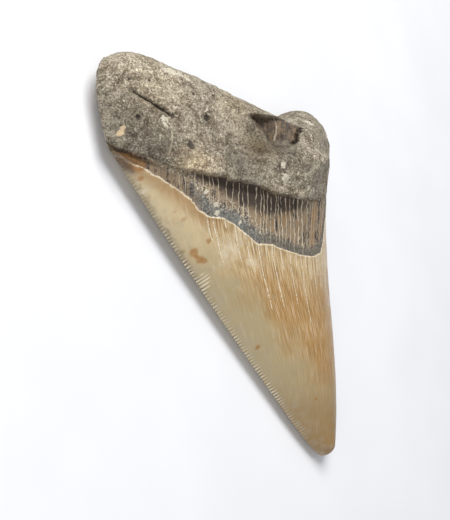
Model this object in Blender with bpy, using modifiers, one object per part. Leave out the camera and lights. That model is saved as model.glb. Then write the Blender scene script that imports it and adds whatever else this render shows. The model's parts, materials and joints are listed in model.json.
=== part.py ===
"""Fossil megalodon tooth, lying on its flatter (labial) face.

The tooth is one solid. A grid is wrapped around it like a sleeve: one way round the
tooth, the other way from the tip of the crown to the basal edge of the root. The sleeve
is welded along its seam, at the tip and along the basal edge, smoothed by subdivision and
trimmed flat where the tooth touches the surface that it lies on.

Form coordinates are millimetres: X across the tooth, Y from the tip (-) to the root (+),
Z up through its thickness. The display (lingual) face looks up.
"""
import bpy
import bmesh
import numpy as np

MM = 0.001

# Sleeve resolution
AROUND = 36
CROWN_ROWS = 13
ROOT_ROWS = 11
SMOOTHING_LEVELS = 1
WELD = 0.00001

# Outline seen from above
TIP = np.array((17.2, -76.1))
TIP_RADIUS = 3.4
LEFT_CORNER = np.array((-53.9, 7.7))
RIGHT_CORNER = np.array((38.3, 13.4))
LEFT_EDGE_BULGE = 1.0
RIGHT_EDGE_BULGE = -2.5
LEFT_LOBE_SWELL = 2.3
RIGHT_LOBE_SWELL = 2.2
BASAL_EDGE = np.array((
    (-54.4, 32.4), (-44.6, 33.8), (-31.4, 31.7), (-17.7, 29.4), (-5.1, 26.2),
    (5.5, 22.5), (14.2, 24.3), (25.4, 29.0), (37.8, 24.9),
))

# Where crown and root meet: how far the line sags towards the tip on each face
LINGUAL_SAG = 15.4
LABIAL_SAG = -1.8

# Height of the cutting edge and of the root's rim above the surface below
EDGE_AT_TIP = 2.3
EDGE_AT_CORNER = 3.9
RIM_OF_LEFT_LOBE = 5.4
RIM_OF_RIGHT_LOBE = 3.2

# Lingual swelling above the cutting edge, at these parts of the way from tip to corner
CROWN_STATIONS = (0.0, 0.15, 0.35, 0.65, 0.85, 1.0)
CROWN_SWELL = (3.6, 6.2, 9.4, 9.8, 12.5, 17.4)
RIDGE_OFFSET_TIP = 0.10
RIDGE_OFFSET_BASE = 0.14
TIP_CLOSING = 0.03

# Root
LEDGE_STEP = 1.5
LOBE_THICKNESS = 8.9
BOSS_HEIGHT = 11.4
BOSS_CENTRE = 2.1
BOSS_WIDTH = 17.8
NOTCH_DEPTH = 3.5
NOTCH_CENTRE = 3.1
NOTCH_WIDTH = 8.7

# Labial face: its height above the surface below. What is under 0 is trimmed flat.
LABIAL_STATIONS = (0.0, 0.4, 0.75, 1.0)
LABIAL_CROWN = (1.2, -0.35, 0.2, 0.8)
LABIAL_ROOT = 1.1
LABIAL_LOBE = 2.8
LEFT_LOBE_CENTRE = -34.0
LEFT_LOBE_WIDTH = 13.0
RIGHT_LOBE_CENTRE = 24.0
RIGHT_LOBE_WIDTH = 10.0

ROOT_COLOUR = (0.20, 0.175, 0.14, 1.0)
ROOT_ROUGHNESS = 0.55


def clear_scene():
    for item in list(bpy.data.objects):
        bpy.data.objects.remove(item, do_unlink=True)


def collection(name):
    group = bpy.data.collections.new(name)
    bpy.context.scene.collection.children.link(group)
    return group


def mix(low, high, part):
    return low + (high - low) * part


def rise(value, start, end):
    """Go smoothly from 0 to 1 as value goes from start to end."""
    part = np.clip((value - start) / (end - start), 0.0, 1.0)
    return part * part * (3.0 - 2.0 * part)


def hill(value, centre, width):
    return np.exp(-((value - centre) / width) ** 2)


def through(points, part):
    """Read a smooth curve through the points, at 0 to 1 of its way."""
    spans = len(points) - 1
    padded = np.vstack([2 * points[0] - points[1], points, 2 * points[-1] - points[-2]])
    place = np.clip(part, 0.0, 1.0) * spans
    first = np.minimum(place.astype(int), spans - 1)
    step = (place - first)[:, None]
    before, start, end, after = (padded[first + i] for i in range(4))
    return 0.5 * (
        2 * start + (end - before) * step
        + (2 * before - 5 * start + 4 * end - after) * step ** 2
        + (3 * start - before - 3 * end + after) * step ** 3
    )


def cutting_edge(corner, side, bulge, crown):
    """Plan points of one cutting edge: crown is 0 at the tip, 1 at the corner."""
    run = (corner[1] - TIP[1]) * crown
    straight = abs(corner[0] - TIP[0]) * crown
    reach = np.sqrt(straight ** 2 + 2 * TIP_RADIUS * run * (1 - crown)) + bulge * 4 * crown * (1 - crown)
    return np.stack([TIP[0] + side * reach, TIP[1] + run], axis=1)


def plan(across, crown, root, lingual):
    """Points of the tooth seen from above; across runs from -1 (left) to 1 (right)."""
    part = (across + 1) / 2
    left = cutting_edge(LEFT_CORNER, -1, LEFT_EDGE_BULGE, crown)
    right = cutting_edge(RIGHT_CORNER, 1, RIGHT_EDGE_BULGE, crown)
    on_crown = mix(left, right, part[:, None])

    neck = mix(LEFT_CORNER, RIGHT_CORNER, part[:, None])
    on_root = mix(neck, through(BASAL_EDGE, part), root[:, None])
    swell = np.clip(np.sin(np.pi * root ** 1.2), 0.0, 1.0) ** 0.7
    on_root[:, 0] += mix(-LEFT_LOBE_SWELL, RIGHT_LOBE_SWELL, part) * swell

    points = np.where((root > 0)[:, None], on_root, on_crown)
    sag = np.where(lingual, LINGUAL_SAG, LABIAL_SAG) * (1 - across ** 2)
    points[:, 1] -= sag * np.where(root > 0, (1 - root) ** 2, crown ** 2)
    return points


def heights(across, x, crown, root, lingual):
    """Height of the surface: a lens on the crown, a rounded slab with a boss on the root."""
    part = (across + 1) / 2
    rim = mix(RIM_OF_LEFT_LOBE, RIM_OF_RIGHT_LOBE, part)
    edge = mix(EDGE_AT_TIP, EDGE_AT_CORNER, crown) + (rim - EDGE_AT_CORNER) * rise(root, 0.0, 0.8)
    closing = np.sqrt(1 - (1 - np.clip(crown / TIP_CLOSING, 0.0, 1.0)) ** 2)
    closing *= np.sqrt(np.clip(1 - root ** 6, 0.0, 1.0))
    roundness = mix(1.0, 0.5, rise(root, 0.0, 0.45))
    fullness = mix(mix(2.0, 2.1, crown), 3.0, rise(root, 0.0, 0.4))

    ridge = mix(RIDGE_OFFSET_TIP, RIDGE_OFFSET_BASE, crown)
    from_ridge = np.abs((across - ridge) / (1 - ridge * np.sign(across - ridge)))
    lens = np.clip(1 - from_ridge ** fullness, 0.0, 1.0) ** roundness
    swell = np.interp(crown, CROWN_STATIONS, CROWN_SWELL)
    swell = mix(swell, LOBE_THICKNESS, rise(root, 0.0, 0.4)) + LEDGE_STEP * rise(root, 0.0, 0.06)
    swell += (BOSS_HEIGHT * hill(x, BOSS_CENTRE, BOSS_WIDTH)
              * rise(root, 0.0, 0.25) * (1 - 0.92 * rise(root, 0.42, 0.97)))
    notch = NOTCH_DEPTH * hill(x, NOTCH_CENTRE, NOTCH_WIDTH) * rise(root, 0.45, 0.9)
    top = edge + (swell * lens - notch) * closing

    lobes = hill(x, LEFT_LOBE_CENTRE, LEFT_LOBE_WIDTH) + hill(x, RIGHT_LOBE_CENTRE, RIGHT_LOBE_WIDTH)
    under_crown = np.interp(crown, LABIAL_STATIONS, LABIAL_CROWN)
    under = mix(under_crown, LABIAL_ROOT - LABIAL_LOBE * lobes, rise(root, 0.0, 0.5))
    pillow = np.clip(1 - np.abs(across) ** 2.6, 0.0, 1.0) ** roundness
    bottom = edge - (edge - under) * pillow * closing
    return np.where(lingual, top, bottom)


def wrap(around, along):
    """Sleeve to tooth: around is the angle from the left edge, along is 0 tip, 1 neck, 2 base."""
    across = -np.cos(around)
    crown = np.clip(along, 0.0, 1.0)
    root = np.clip(along - 1.0, 0.0, 1.0)
    lingual = np.sin(around) >= 0
    points = plan(across, crown, root, lingual)
    height = heights(across, points[:, 0], crown, root, lingual)
    return np.column_stack([points, height])


def rows_along(part):
    """Even rows on the crown; rows that close up towards the rounded basal edge on the root."""
    neck = CROWN_ROWS / (CROWN_ROWS + ROOT_ROWS)
    crown = np.clip(part / neck, 0.0, 1.0)
    root = np.clip((part - neck) / (1 - neck), 0.0, 1.0)
    return crown ** 1.25 + np.sin(root * np.pi / 2)


def tooth_cage():
    shape = bmesh.new()
    bmesh.ops.create_grid(shape, x_segments=AROUND, y_segments=CROWN_ROWS + ROOT_ROWS, size=0.5)
    sleeve = np.array([corner.co for corner in shape.verts])
    points = wrap((sleeve[:, 0] + 0.5) * 2 * np.pi, rows_along(sleeve[:, 1] + 0.5))
    for corner, point in zip(shape.verts, points):
        corner.co = point * MM
    bmesh.ops.remove_doubles(shape, verts=shape.verts, dist=WELD)
    bmesh.ops.recalc_face_normals(shape, faces=shape.faces)
    return shape


def set_on_origin(shape):
    """Move the cage so that the tooth lies on Z = 0, centred over the origin."""
    places = np.array([corner.co for corner in shape.verts])
    middle = (places.min(axis=0) + places.max(axis=0)) / 2
    for corner in shape.verts:
        corner.co.x -= middle[0]
        corner.co.y -= middle[1]


def material(name, colour, roughness):
    finish = bpy.data.materials.new(name)
    finish.use_nodes = True
    shader = finish.node_tree.nodes["Principled BSDF"]
    shader.inputs["Base Color"].default_value = colour
    shader.inputs["Roughness"].default_value = roughness
    shader.inputs["Metallic"].default_value = 0.0
    return finish


def add_object(name, shape, group):
    mesh = bpy.data.meshes.new(name)
    shape.to_mesh(mesh)
    shape.free()
    item = bpy.data.objects.new(name, mesh)
    group.objects.link(item)
    return item


def floor_cutter(group):
    """A block whose top is Z = 0: it trims the three places the tooth rests on."""
    shape = bmesh.new()
    bmesh.ops.create_cube(shape, size=1.0)
    for corner in shape.verts:
        corner.co.x *= 200 * MM
        corner.co.y *= 200 * MM
        corner.co.z = (corner.co.z - 0.5) * 20 * MM
    cutter = add_object("floor_cutter", shape, group)
    cutter.hide_render = True
    cutter.display_type = 'WIRE'
    return cutter


def build():
    clear_scene()
    parts = collection("megalodon_tooth")
    cutters = collection("cutters")
    cage = tooth_cage()
    set_on_origin(cage)
    tooth = add_object("tooth", cage, parts)
    tooth.data.materials.append(material("fossil_root", ROOT_COLOUR, ROOT_ROUGHNESS))

    smooth = tooth.modifiers.new("smooth", 'SUBSURF')
    smooth.levels = SMOOTHING_LEVELS
    smooth.render_levels = SMOOTHING_LEVELS
    trim = tooth.modifiers.new("rest_flats", 'BOOLEAN')
    trim.operation = 'DIFFERENCE'
    trim.object = floor_cutter(cutters)


build()
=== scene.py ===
"""Fossil megalodon tooth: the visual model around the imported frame.

The tooth is one piece. It starts as a flat sleeve of faces, is split where detail needs it,
is wrapped round the tooth and welded, and is then sculpted by moving its points. Form
coordinates are millimetres: X across the tooth, Y from the tip (-) to the root (+), Z up
through its thickness. The display (lingual) face looks up.
"""
import json

import bpy
import numpy as np
from bpy.props import FloatProperty, FloatVectorProperty, IntProperty, PointerProperty
from mathutils import Matrix, Vector, noise

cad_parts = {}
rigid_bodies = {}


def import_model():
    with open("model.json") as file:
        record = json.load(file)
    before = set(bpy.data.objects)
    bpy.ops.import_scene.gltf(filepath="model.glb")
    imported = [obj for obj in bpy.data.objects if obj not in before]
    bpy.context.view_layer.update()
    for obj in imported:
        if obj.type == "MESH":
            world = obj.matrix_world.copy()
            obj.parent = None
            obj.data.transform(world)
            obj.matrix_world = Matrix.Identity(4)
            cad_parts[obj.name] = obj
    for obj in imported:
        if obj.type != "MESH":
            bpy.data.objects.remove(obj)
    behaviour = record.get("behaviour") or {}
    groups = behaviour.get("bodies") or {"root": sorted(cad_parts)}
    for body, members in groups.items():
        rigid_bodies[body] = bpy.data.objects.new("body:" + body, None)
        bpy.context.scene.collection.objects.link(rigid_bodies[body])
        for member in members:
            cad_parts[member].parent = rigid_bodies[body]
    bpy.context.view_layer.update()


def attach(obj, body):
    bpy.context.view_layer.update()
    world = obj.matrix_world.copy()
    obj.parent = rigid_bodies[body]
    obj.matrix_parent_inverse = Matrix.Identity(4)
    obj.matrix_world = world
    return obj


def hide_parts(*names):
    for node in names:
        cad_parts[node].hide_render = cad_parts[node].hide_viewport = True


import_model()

bl_info = {
    "name": "Fossil Megalodon Tooth",
    "version": (1, 0, 0),
    "blender": (4, 5, 0),
    "location": "View3D > Sidebar > Fossil",
    "description": "Models a fossil megalodon tooth with its enamel, bourlette and root",
    "category": "Object",
}

MM = 0.001

# Outline seen from above
TIP = np.array((17.2, -76.1))
TIP_RADIUS = 3.4
LEFT_CORNER = np.array((-53.9, 7.7))
RIGHT_CORNER = np.array((38.3, 13.4))
LEFT_EDGE_BULGE = 1.0
RIGHT_EDGE_BULGE = -2.5
LEFT_LOBE_SWELL = 2.3
RIGHT_LOBE_SWELL = 2.2
BASAL_EDGE = np.array((
    (-54.4, 32.4), (-44.6, 33.8), (-31.4, 31.7), (-17.7, 29.4), (-5.1, 26.2),
    (5.5, 22.5), (14.2, 24.3), (25.4, 29.0), (37.8, 24.9),
))
LINGUAL_SAG = 15.4
LABIAL_SAG = -1.8
CROWN_LENGTH = 92.0
ROOT_LENGTH = 26.0

# Height of the cutting edge and of the root's rim above the floor
EDGE_AT_TIP = 2.3
EDGE_AT_CORNER = 3.9
RIM_OF_LEFT_LOBE = 5.4
RIM_OF_RIGHT_LOBE = 3.2

# Lingual swelling above the cutting edge
CROWN_STATIONS = (0.0, 0.15, 0.35, 0.65, 0.85, 1.0)
CROWN_SWELL = (3.6, 6.2, 9.4, 9.8, 12.5, 17.4)
RIDGE_OFFSET_TIP = 0.10
RIDGE_OFFSET_BASE = 0.14
TIP_CLOSING = 0.03
LEDGE_STEP = 1.5
LOBE_THICKNESS = 8.9
BOSS_HEIGHT = 11.4
BOSS_CENTRE = 2.1
BOSS_WIDTH = 17.8
NOTCH_DEPTH = 3.5
NOTCH_CENTRE = 3.1
NOTCH_WIDTH = 8.7

# Labial face: its height above the floor. What is under 0 is worn level.
LABIAL_STATIONS = (0.0, 0.4, 0.75, 1.0)
LABIAL_CROWN = (1.2, -0.35, 0.2, 0.8)
LABIAL_ROOT = 1.1
LABIAL_LOBE = 2.8
LEFT_LOBE_CENTRE = -34.0
LEFT_LOBE_WIDTH = 13.0
RIGHT_LOBE_CENTRE = 24.0
RIGHT_LOBE_WIDTH = 10.0

# Where the enamel ends on each face, and the ledge where the root overhangs the dark band
BORDER = np.array((
    (-54.5, 7.6), (-50.5, 5.0), (-44.0, 1.0), (-38.4, -2.9), (-33.8, -6.4), (-29.4, -9.5),
    (-24.8, -10.7), (-19.7, -13.2), (-14.0, -16.5), (-9.2, -17.1), (-3.0, -18.4), (5.4, -19.5),
    (12.5, -19.2), (18.0, -17.4), (22.5, -10.5), (29.0, 0.5), (38.5, 13.2),
))
LEDGE = np.array((
    (-54.5, 9.4), (-51.3, 7.8), (-47.1, 5.5), (-43.6, 3.5), (-40.1, 1.6), (-35.5, 0.8),
    (-29.6, -0.4), (-23.9, -1.4), (-18.5, -2.3), (-12.0, -4.1), (-4.0, -5.0), (6.0, -4.7),
    (15.0, -3.6), (24.0, 1.0), (31.0, 7.0), (38.5, 14.2),
))
LABIAL_BORDER = np.array((
    (-54.5, 7.8), (-44.0, 8.6), (-30.0, 7.6), (-14.0, 5.4), (2.0, 5.0), (18.0, 8.0),
    (30.0, 11.8), (38.5, 13.6),
))
LABIAL_LEDGE = LABIAL_BORDER + np.array((0.0, 1.3))

# The display view: where the camera stands, and its directions in form coordinates
EYE = np.array((-213.5, -59.8, 171.9))
SIGHT_RIGHT = np.array((0.6581, -0.1390, 0.7400))
SIGHT_DOWN = np.array((0.0253, -0.9782, -0.2063))
SIGHT_INTO = np.array((0.7525, 0.1545, -0.6402))
LENS = 66.7
SENSOR = 36.0
PICTURE_HEIGHT = 520
PICTURE_MIDDLE = 225

# A pixel of that view at the tooth in mm, and the pixels in a mm along the hollow
PIXEL = 0.29
PIXELS_A_MM = 3.4

# The hollow in the basal notch, scooped out along the line of sight. Each wall is a point to the
# right of and below the centre, and the direction from the wall into the hollow.
HOLLOW_CENTRE = np.array((-7.2, 13.6, 21.5))
HOLLOW_LEFT = (-7.9, -4.1, 0.858, -0.513)
HOLLOW_RIGHT = (7.3, -0.3, -0.933, -0.361)
HOLLOW_DEPTH = 4.8
HOLLOW_GROOVE = 0.5
CREVICE_DEPTH = 1.6

# The recess under the root's lip at places across the tooth: its share of the full depth, and how
# steeply it fades towards the crown
RECESS_PLACES = (-53.0, -46.5, -44.0, -39.0, -34.0, -27.0, -14.0, -6.0, 2.0, 12.0, 30.0)
RECESS_DEPTHS = (0.60, 0.50, 0.12, 0.12, 0.45, 0.95, 1.0, 0.75, 0.40, 0.10, 0.05)
REACH_PLACES = (-46.0, -30.0, -20.0, -8.0, 4.0)
RECESS_REACHES = (0.35, 0.9, 1.7, 1.5, 1.0)

# Small heights and depths, in mm: the lip of the root, the ribs between the band's cracks under
# that lip and beside it, the enamel's rolled edge, the dip to the right of the boss, pits, the
# fragment of shell and the grooves that run in from the serrations
LIP_HEIGHT = 0.35
RIB_HEIGHT = 0.42
LOW_RIB_HEIGHT = 0.10
ROLLED_EDGE = 0.10
BOSS_SIDE_DIP = 0.5
PIT_DEPTH = 0.55
SHELL_HEIGHT = 0.35
GROOVE_DEPTH = 0.13

# Growth lines fan out from a point beyond the tip, and are counted in mm across the border
FAN_POINT = np.array((16.7, -100.0))
FAN_REACH = 82.0

# Cracks that cross the dark band, as pixels across the display view. Beyond the fold, in mm on the
# fan, the band turns away, and each mm counts for some pixels more.
BAND_CRACKS = np.array((
    90.0, 103.0, 115.0, 124.0, 133.0, 143.0, 152.0, 161.0, 171.0, 180.0, 185.0, 195.0, 203.0,
    210.0, 213.5, 219.0, 227.0, 233.0, 240.0, 244.0, 249.0, 257.0, 262.0, 265.0, 268.0, 272.0,
    277.0, 280.0, 283.0, 287.0, 292.0, 296.0, 300.0, 304.0, 309.0, 312.0, 317.0, 323.0, 331.0,
    342.0, 354.0, 367.0, 380.0, 394.0, 410.0, 427.0, 445.0, 464.0, 490.0, 520.0, 560.0,
))
FOLD = -9.0
FOLD_STRETCH = 4.0

# Fine cracks in the enamel (place on the fan, length down from the border, in mm)
ENAMEL_CRACKS = np.array((
    (-60.0, 0.0), (-42.2, 5.0), (-41.2, 10.5), (-38.4, 3.0), (-36.0, 6.2), (-33.2, 5.0), (-31.6, 3.0),
    (-29.9, 17.5), (-27.2, 3.5), (-24.8, 16.5), (-21.6, 5.0), (-18.0, 17.5), (-15.4, 6.0),
    (-12.8, 18.5), (-10.4, 5.0), (-8.3, 8.0), (-5.6, 13.0), (-3.4, 5.0), (-1.2, 9.0),
    (1.2, 6.0), (3.2, 17.0), (5.5, 7.0), (8.5, 12.0), (30.0, 0.0),
))

# Lines on the root: a slit, a pale vein and a pale crack in the hollow. The slit's share of its
# full width and depth follows, at places across the tooth.
SLIT = np.array(((-51.3, 21.9), (-47.7, 19.9), (-43.7, 17.9), (-39.9, 16.0)))
ROOT_CRACK = np.array(((-40.2, 11.6), (-40.7, 9.2), (-41.9, 5.2)))
NOTCH_CRACK = np.array(((-6.6, 19.0), (-7.6, 15.5), (-9.6, 10.4)))
SLIT_PLACES = (-51.5, -47.5, -43.0, -39.5)
SLIT_SHARES = (0.25, 0.8, 1.0, 0.7)

# Spots, as x, y, radius and, where it isn't 1, the amount: pits and a fragment of shell in the
# root, white deposits, rust, and pale or scratched places of the enamel
PITS = (
    (-48.9, 14.8, 0.7), (-28.0, 16.2, 0.9), (-36.0, 7.7, 1.35), (-39.4, 15.7, 0.8),
    (-20.5, 9.0, 0.5), (-31.0, 22.5, 0.45), (9.0, 4.0, 0.6), (22.0, 12.0, 0.7),
    (-50.5, 24.5, 0.4), (-24.0, 23.0, 0.4), (-45.0, 24.5, 0.45), (14.0, 16.0, 0.6),
)
SHELL = ((-51.9, 12.4, 0.55), (-52.3, 11.2, 0.80))
DEPOSITS = (
    (-38.6, 28.5, 1.7), (-36.2, 28.4, 1.4), (-33.6, 28.0, 1.5), (-31.6, 27.2, 1.3), (-10.4, 2.6, 0.8, 1.5),
    (-9.5, -0.5, 1.1, 1.7), (19.6, 21.6, 1.4), (2.9, -2.4, 0.7), (-44.0, 27.0, 0.6), (-38.1, 18.0, 0.9),
    (-27.8, 18.3, 0.8), (-41.8, 14.8, 1.1), (-41.6, 13.0, 0.8), (-29.8, 15.1, 0.7), (0.5, -1.9, 0.9, 1.6),
    (5.8, -2.0, 0.8, 1.6), (-31.6, -4.2, 0.7), (-28.1, -7.2, 0.7), (-27.2, -9.2, 0.8), (-20.2, -11.7, 0.6),
)
RUST = (
    (-50.6, 5.6, 1.6), (-48.6, 4.0, 1.5), (-47.0, 2.9, 1.2), (-46.3, 0.4, 0.8, 0.8),
    (-30.6, -18.0, 1.15), (-28.7, -20.0, 1.0), (-29.8, -19.1, 0.5, 0.6), (-27.4, -20.5, 0.7, 0.8),
    (-27.6, -15.6, 0.8, 0.9), (-34.9, -10.0, 0.9, 0.6), (-37.3, -8.0, 0.8, 0.5), (-9.9, -43.8, 0.7),
    (9.0, -59.7, 0.5),
)
PALE_PLACES = ((-45.2, -2.6, 1.1), (-21.5, -17.6, 4.2), (-14.5, -21.5, 2.6))
SCRATCHED = ((-26.9, -24.6, 1.7), (-25.8, -26.6, 1.2))

# Broad shades of the root, as such spots: lighter or darker, and warmer. The darker spots, low on the root
# by the ledge and beside and under the hollow, are painted shade.
TONES_AND_PAINTED_SHADE = (
    (-53.0, 27.4, 6.0, 0.5), (-43.0, 24.0, 8.0, 1.3), (-50.3, 13.0, 8.0, -1.15), (-42.9, 5.5, 5.0, -1.2),
    (-28.9, 10.6, 5.0, 0.2), (-22.3, 3.0, 6.0, -1.5), (-14.6, 8.5, 4.5, -1.9), (-8.5, 6.5, 4.0, -1.6),
    (-20.0, 20.0, 6.0, 0.5), (-34.0, 1.6, 4.6, 1.7), (-14.5, 15.5, 3.6, -1.2), (-3.0, -1.0, 6.0, 0.7),
    (-47.0, 3.0, 5.0, -0.6),
)
WARMTH = (
    (-35.5, 1.8, 4.6, 1.15), (-42.0, 23.0, 9.0, 0.4), (-18.0, 21.0, 6.0, 0.5), (-15.0, 8.0, 5.0, 0.6),
)

# Spots that the material reads, by the names that they are kept under
SPOTS = {
    "shell": SHELL, "deposit": DEPOSITS, "rust": RUST, "pale": PALE_PLACES, "scratch": SCRATCHED,
    "shade": TONES_AND_PAINTED_SHADE, "warmth": WARMTH,
}

# The corner of the left lobe that is worn round, and how far and which way it is moved in
ROUNDED_LOBE = (-55.4, 33.0)
LOBE_RADIUS = 4.6
LOBE_ROUNDING = 1.7
LOBE_INWARD = np.array((0.72, -0.70))

# Distance from one serration to the next, in mm
SERRATION_PITCH = 0.97

# Longest side of a face, in mm, for each part of the surface
FINE_EDGE = 0.39
FINE_BAND = 0.47
FINE_MARK = 0.36
FINE_ROOT = 0.72
FINE_CROWN = 1.15
FINE_LABIAL = 1.8

# The flat sleeve: its first faces, where its crown ends, and how close together, in metres, points
# are welded
SLEEVE_COLUMNS = 32
SLEEVE_ROWS = 24
SLEEVE_NECK = 0.54
WELD = 0.000002


def colour(red, green, blue):
    """A screen colour, 0 to 255, as the linear colour that Blender keeps."""
    screen = np.array((red, green, blue)) / 255
    linear = np.where(screen <= 0.04045, screen / 12.92, ((screen + 0.055) / 1.055) ** 2.4)
    return tuple(float(part) for part in linear) + (1.0,)


def swatch(name, description, red, green, blue):
    return FloatVectorProperty(name=name, description=description, subtype='COLOR', size=4,
                               min=0.0, max=1.0, default=colour(red, green, blue))


def length(name, description, millimetres):
    return FloatProperty(name=name, description=description, default=millimetres * MM,
                         min=0.0, unit='LENGTH', precision=5)


class FossilSizes(bpy.types.PropertyGroup):
    serration_pitch: length("Serration pitch", "Distance from one serration to the next",
                            SERRATION_PITCH)
    serration_depth: length("Serration depth", "How far a serration stands out", 0.24)
    serration_reach: length("Serration reach", "How far its grooves run into the enamel", 1.9)
    enamel_edge: length("Enamel edge", "Drop from the enamel to the dark band", 0.5)
    overhang: length("Overhang", "How far the root's lip reaches over the dark band", 0.8)
    recess: length("Recess", "Depth of the hollow under the root's lip", 1.7)
    root_lumps: length("Root lumps", "Height of the root's broad lumps", 0.42)
    root_grain: length("Root grain", "Height of the root's coarse grain", 0.24)
    slit_depth: length("Slit depth", "Depth of the slit in the left lobe", 1.2)
    passes: IntProperty(name="Splitting passes", description="Most rounds of splitting", default=9,
                        min=1, max=12)


class FossilColours(bpy.types.PropertyGroup):
    root_light: swatch("Root light", "Light bone of the root", 172, 162, 142)
    root_middle: swatch("Root middle", "Main colour of the root", 146, 135, 115)
    root_dark: swatch("Root dark", "Stained bone of the root", 104, 93, 76)
    root_brown: swatch("Root brown", "Brown patches of the root", 128, 106, 82)
    # Dark grains of the root, also used as painted shade in the slit, the pits and the crevice of the
    # hollow.
    grit_dark_and_shade: swatch("Dark grit", "Dark grains and pits", 50, 43, 35)
    grit_pale: swatch("Pale grit", "Pale grains and mineral flecks", 228, 219, 196)
    # The band's own dark colour, also used as painted shade in the recess under the root's lip and in the
    # hollow under the notch.
    band_dark_and_shade: swatch("Band dark", "Darkest part of the band under the ledge", 66, 56, 51)
    band_brown: swatch("Band brown", "Brown of the band", 156, 136, 110)
    band_tan: swatch("Band tan", "Orange-brown streaks of the band", 160, 130, 95)
    band_grey: swatch("Band grey", "Blue-grey of the band's lower part", 124, 126, 121)
    shell: swatch("Shell", "Fragment of shell stuck to the root", 216, 190, 152)
    crack_pale: swatch("Crack filling", "Pale lines in the band and the enamel", 214, 200, 172)
    enamel_cream: swatch("Enamel cream", "Enamel next to its border", 218, 197, 155)
    enamel_beige: swatch("Enamel beige", "Enamel on the left of the crown", 174, 156, 118)
    enamel_tan: swatch("Enamel tan", "Enamel in the middle of the crown", 176, 138, 84)
    enamel_tip: swatch("Enamel tip", "Olive-brown enamel of the tip", 145, 112, 65)
    # Also painted along the enamel's border as a highlight on its broken edge.
    enamel_edge: swatch("Enamel edge", "Broken edge of the enamel", 240, 228, 202)
    rust: swatch("Rust", "Rust-coloured stains", 158, 107, 44)


class FossilStage(bpy.types.PropertyGroup):
    floor: swatch("Floor", "Colour of the floor", 243, 243, 244)
    sky: swatch("Surroundings", "Colour of the light all round", 240, 243, 250)
    sky_strength: FloatProperty(name="Surroundings strength", description="Light all round",
                                default=0.42, min=0.0)
    key_power: FloatProperty(name="Main light", description="Power of the light over the root",
                             default=5.0, min=0.0, unit='POWER')
    fill_power: FloatProperty(name="Fill light", description="Power of the light near the camera",
                              default=1.4, min=0.0, unit='POWER')
    floor_size: length("Floor size", "Side of the square floor", 3000.0)


def mix(low, high, part):
    return low + (high - low) * part


def rise(value, start, end):
    """Go smoothly from 0 to 1 as value goes from start to end."""
    part = np.clip((value - start) / (end - start), 0.0, 1.0)
    return part * part * (3.0 - 2.0 * part)


def hill(value, centre, width):
    return np.exp(-((value - centre) / width) ** 2)


def through(points, part):
    """Read a smooth curve through the points, at 0 to 1 of its way."""
    spans = len(points) - 1
    padded = np.vstack([2 * points[0] - points[1], points, 2 * points[-1] - points[-2]])
    place = np.clip(part, 0.0, 1.0) * spans
    first = np.minimum(place.astype(int), spans - 1)
    step = (place - first)[:, None]
    before, start, end, after = (padded[first + i] for i in range(4))
    return 0.5 * (
        2 * start + (end - before) * step
        + (2 * before - 5 * start + 4 * end - after) * step ** 2
        + (3 * start - before - 3 * end + after) * step ** 3
    )


def rounded(part, stations, values):
    """Read a line through the stations, with its corners rounded off."""
    reach = np.minimum(0.12, np.minimum(part, 1 - part))
    offsets = np.linspace(-1.0, 1.0, 7)
    return sum(np.interp(part + offset * reach, stations, values) for offset in offsets) / len(offsets)


def cutting_edge(corner, side, bulge, crown):
    """Plan points of one cutting edge: crown is 0 at the tip, 1 at the corner."""
    run = (corner[1] - TIP[1]) * crown
    straight = abs(corner[0] - TIP[0]) * crown
    reach = np.sqrt(straight ** 2 + 2 * TIP_RADIUS * run * (1 - crown)) + bulge * 4 * crown * (1 - crown)
    return np.stack([TIP[0] + side * reach, TIP[1] + run], axis=1)


def plan(across, crown, root, lingual):
    """Points of the tooth seen from above; across runs from -1 (left) to 1 (right)."""
    part = (across + 1) / 2
    left = cutting_edge(LEFT_CORNER, -1, LEFT_EDGE_BULGE, crown)
    right = cutting_edge(RIGHT_CORNER, 1, RIGHT_EDGE_BULGE, crown)
    on_crown = mix(left, right, part[:, None])

    neck = mix(LEFT_CORNER, RIGHT_CORNER, part[:, None])
    on_root = mix(neck, through(BASAL_EDGE, part), root[:, None])
    swell = np.clip(np.sin(np.pi * root ** 1.2), 0.0, 1.0) ** 0.7
    on_root[:, 0] += mix(-LEFT_LOBE_SWELL, RIGHT_LOBE_SWELL, part) * swell

    points = np.where((root > 0)[:, None], on_root, on_crown)
    sag = np.where(lingual, LINGUAL_SAG, LABIAL_SAG) * (1 - across ** 2)
    points[:, 1] -= sag * np.where(root > 0, (1 - root) ** 2, crown ** 2)
    return points


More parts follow.
